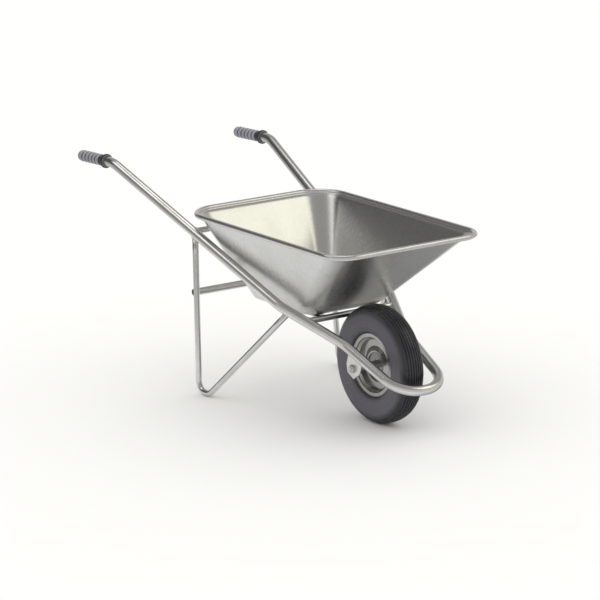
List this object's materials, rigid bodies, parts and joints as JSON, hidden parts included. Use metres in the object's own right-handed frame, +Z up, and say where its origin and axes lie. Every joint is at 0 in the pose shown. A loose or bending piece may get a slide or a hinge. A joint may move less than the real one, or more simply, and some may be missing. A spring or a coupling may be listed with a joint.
{
  "type": "wheelbarrow",
  "caption": "Wheelbarrow with a sloping-sided steel tray, a bent-tube frame with rubber grips, V-shaped legs and one pneumatic wheel.",
  "frame": {"origin": "on the ground under the middle of the barrow, halfway between the grip ends and the front of the frame loop", "axes": "+X forward towards the wheel, +Y to the barrow's left, +Z up"},
  "size_m": [1.564, 0.715, 0.7496],
  "materials": {
    "frame_zinc": "zinc plated, satin",
    "grip_rubber": "matt black-blue rubber",
    "tray_steel": "satin zinc sheet",
    "wire_steel": "bright drawn wire",
    "plate_zinc": "zinc plated plate",
    "fastener_zinc": "zinc plated",
    "axle_steel": "turned",
    "bearing_steel": "ground and polished",
    "seal_steel": "pressed steel shield",
    "hub_steel": "turned and zinc plated",
    "wheel_steel": "pressed and zinc plated",
    "tyre_rubber": "dark slate rubber",
    "inner_tube_rubber": "butyl rubber",
    "valve_brass": "turned",
    "cap_plastic": "moulded"
  },
  "bodies": {
    "frame": {"frame_tube": "frame_zinc", "front_cross_tube": "frame_zinc", "rear_cross_tube": "frame_zinc", "left_leg": "frame_zinc", "right_leg": "frame_zinc", "leg_brace": "frame_zinc", "left_grip": "grip_rubber", "right_grip": "grip_rubber", "tray": "tray_steel", "rim_wire": "wire_steel", "front_tray_tabs": "plate_zinc", "rear_tray_tabs": "plate_zinc", "tray_bolts": "fastener_zinc", "tray_studs": "fastener_zinc", "tray_washers": "fastener_zinc", "tray_nuts": "fastener_zinc", "left_axle_bracket": "plate_zinc", "right_axle_bracket": "plate_zinc", "axle": "axle_steel", "axle_washers": "fastener_zinc", "axle_nuts": "fastener_zinc", "left_spacer": "axle_steel", "right_spacer": "axle_steel", "centre_spacer": "axle_steel", "bearing_inner_rings": "bearing_steel"},
    "wheel": {"hub": "hub_steel", "left_wheel_half": "wheel_steel", "right_wheel_half": "wheel_steel", "tyre": "tyre_rubber", "inner_tube": "inner_tube_rubber", "valve_stem": "valve_brass", "valve_cap": "cap_plastic", "bearing_outer_rings": "bearing_steel", "bearing_balls": "bearing_steel", "bearing_seals": "seal_steel"}
  },
  "joints": [
    {"name": "wheel_spin", "type": "hinge", "parent": "frame", "child": "wheel", "pos_m": [0.522, 0, 0.2], "axis": [0, 1, 0], "continuous": true}
  ]
}
